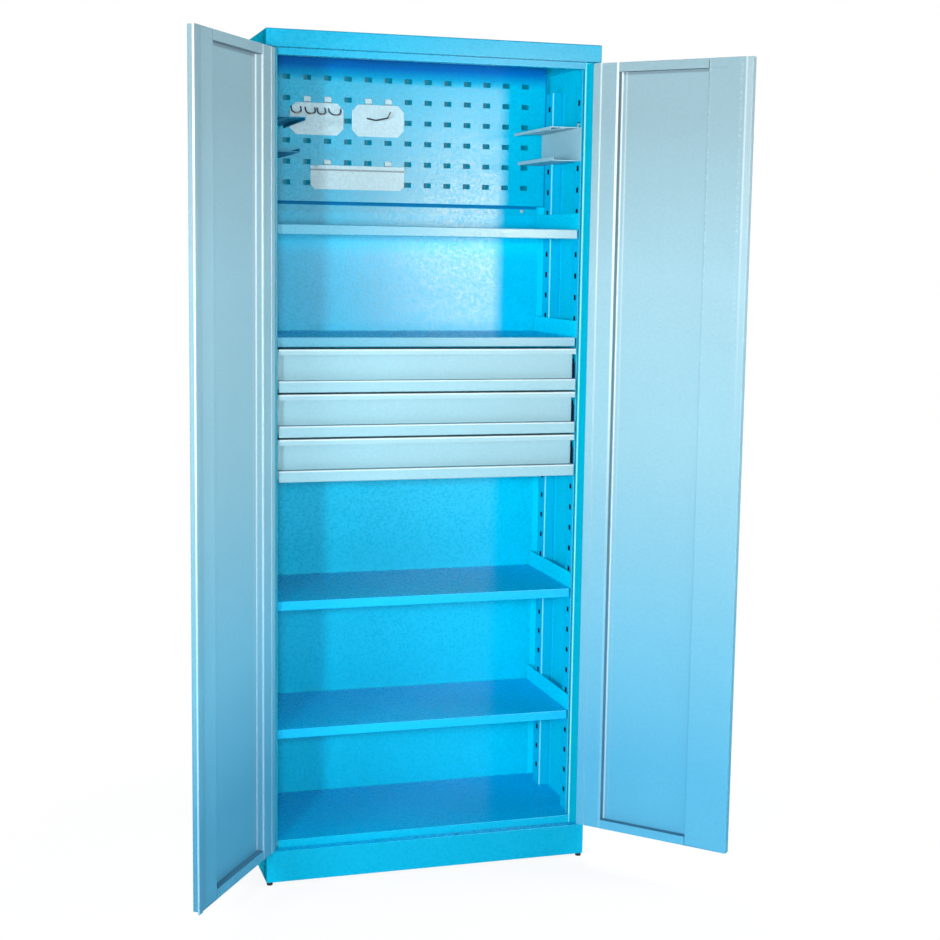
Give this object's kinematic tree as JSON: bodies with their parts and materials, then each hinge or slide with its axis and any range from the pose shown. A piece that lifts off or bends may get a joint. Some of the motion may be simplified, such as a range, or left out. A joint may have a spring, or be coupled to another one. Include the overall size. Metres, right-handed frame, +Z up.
{
  "type": "tool cabinet",
  "caption": "Tall steel workshop tool cabinet with open hinged double doors, perforated tool panel with hooks, slotted uprights, adjustable shelves, shallow drawers and a plinth",
  "frame": {"origin": "on the floor, in the middle of the floor rectangle that the part takes up with its doors at the stored opening angles; the middle plane of the cabinet body is 25 mm to the left of it and the faces of the door posts are 10 mm behind it", "axes": "+Z up, +Y from the open front to the rear panel, +X to the right for someone facing the open front"},
  "size_m": [1.2344, 0.692, 1.92],
  "materials": {
    "body_paint": "fine-textured powder coat",
    "door_paint": "fine-textured powder coat",
    "drawer_paint": "fine-textured powder coat",
    "accessory_paint": "silver-grey powder coat",
    "zinc_steel": "bright zinc plating",
    "hook_wire": "dark burnished wire",
    "black_plastic": "matt moulded plastic",
    "glide_plastic": "matt moulded plastic",
    "barrel_metal": "plated cylinder"
  },
  "bodies": {
    "carcass": {"drawer_outer_rails": "zinc_steel", "floor_panel": "body_paint", "foot_glides": "glide_plastic", "hinge_pins": "body_paint", "hook_plate_left": "accessory_paint", "hook_plate_left_hooks": "hook_wire", "hook_plate_right": "accessory_paint", "hook_plate_right_hook": "hook_wire", "left_front_upright": "body_paint", "left_rear_upright": "body_paint", "left_side_panel": "body_paint", "plinth": "body_paint", "rear_panel": "body_paint", "right_front_upright": "body_paint", "right_rear_upright": "body_paint", "right_side_panel": "body_paint", "rod_keepers": "zinc_steel", "shelf_1": "body_paint", "shelf_2": "body_paint", "shelf_3": "body_paint", "shelf_4": "body_paint", "shelf_clips": "zinc_steel", "side_rack_left": "accessory_paint", "side_rack_right": "accessory_paint", "tool_panel": "body_paint", "tool_panel_screws": "zinc_steel", "tool_strip": "accessory_paint", "top_cap": "body_paint", "top_front_rail": "body_paint"},
    "left_door": {"left_door_bushes": "black_plastic", "left_door_overlap_strip": "door_paint", "left_door_pan": "door_paint", "left_door_stiffener": "door_paint"},
    "right_door": {"lock_escutcheon": "black_plastic", "rod_guides": "black_plastic", "right_door_bushes": "black_plastic", "right_door_pan": "door_paint", "right_door_stiffener": "door_paint"},
    "lock_handle": {"lock_lever": "black_plastic", "lock_spindle": "zinc_steel", "lock_pinion": "zinc_steel"},
    "key_barrel": {"lock_barrel": "barrel_metal"},
    "upper_rod": {"upper_lock_rod": "zinc_steel"},
    "lower_rod": {"lower_lock_rod": "zinc_steel"},
    "drawer_1": {"drawer_1_front": "drawer_paint", "drawer_1_tray": "drawer_paint", "drawer_1_inner_rails": "zinc_steel"},
    "drawer_1_slides": {"drawer_1_mid_rails": "zinc_steel"},
    "drawer_2": {"drawer_2_front": "drawer_paint", "drawer_2_tray": "drawer_paint", "drawer_2_inner_rails": "zinc_steel"},
    "drawer_2_slides": {"drawer_2_mid_rails": "zinc_steel"},
    "drawer_3": {"drawer_3_front": "drawer_paint", "drawer_3_tray": "drawer_paint", "drawer_3_inner_rails": "zinc_steel"},
    "drawer_3_slides": {"drawer_3_mid_rails": "zinc_steel"}
  },
  "joints": [
    {"name": "right_door_hinge", "type": "hinge", "parent": "carcass", "child": "right_door", "pos_m": [0.35547, -0.00803, 0.981], "axis": [0, 0, 1], "range_deg": [-133.2, 36.8]},
    {"name": "left_door_hinge", "type": "hinge", "parent": "carcass", "child": "left_door", "pos_m": [-0.40453, -0.00803, 0.981], "axis": [0, 0, -1], "range_deg": [-123.6, 46.4]},
    {"name": "lock_handle_turn", "type": "hinge", "parent": "right_door", "child": "lock_handle", "pos_m": [0.57636, -0.25055, 1], "axis": [0.729, 0.6845, 0], "range_deg": [-90, 0]},
    {"name": "key_turn", "type": "hinge", "parent": "lock_handle", "child": "key_barrel", "pos_m": [0.57636, -0.25055, 1], "axis": [0.729, 0.6845, 0], "range_deg": [-90, 0]},
    {"name": "upper_rod_slide", "type": "slide", "parent": "right_door", "child": "upper_rod", "axis": [0, 0, -1], "range_m": [-0.01885, 0]},
    {"name": "lower_rod_slide", "type": "slide", "parent": "right_door", "child": "lower_rod", "axis": [0, 0, 1], "range_m": [-0.01885, 0]},
    {"name": "drawer_1_slide", "type": "slide", "parent": "carcass", "child": "drawer_1", "axis": [0, -1, 0], "range_m": [0, 0.22]},
    {"name": "drawer_1_mid_slide", "type": "slide", "parent": "carcass", "child": "drawer_1_slides", "axis": [0, -1, 0], "range_m": [0, 0.11]},
    {"name": "drawer_2_slide", "type": "slide", "parent": "carcass", "child": "drawer_2", "axis": [0, -1, 0], "range_m": [0, 0.22]},
    {"name": "drawer_2_mid_slide", "type": "slide", "parent": "carcass", "child": "drawer_2_slides", "axis": [0, -1, 0], "range_m": [0, 0.11]},
    {"name": "drawer_3_slide", "type": "slide", "parent": "carcass", "child": "drawer_3", "axis": [0, -1, 0], "range_m": [0, 0.22]},
    {"name": "drawer_3_mid_slide", "type": "slide", "parent": "carcass", "child": "drawer_3_slides", "axis": [0, -1, 0], "range_m": [0, 0.11]}
  ],
  "couplings": [
    {"joint": "upper_rod_slide", "follows": "lock_handle_turn", "m_per_rad": 0.012},
    {"joint": "lower_rod_slide", "follows": "lock_handle_turn", "m_per_rad": 0.012},
    {"joint": "drawer_1_mid_slide", "follows": "drawer_1_slide", "ratio": 0.5},
    {"joint": "drawer_2_mid_slide", "follows": "drawer_2_slide", "ratio": 0.5},
    {"joint": "drawer_3_mid_slide", "follows": "drawer_3_slide", "ratio": 0.5}
  ]
}
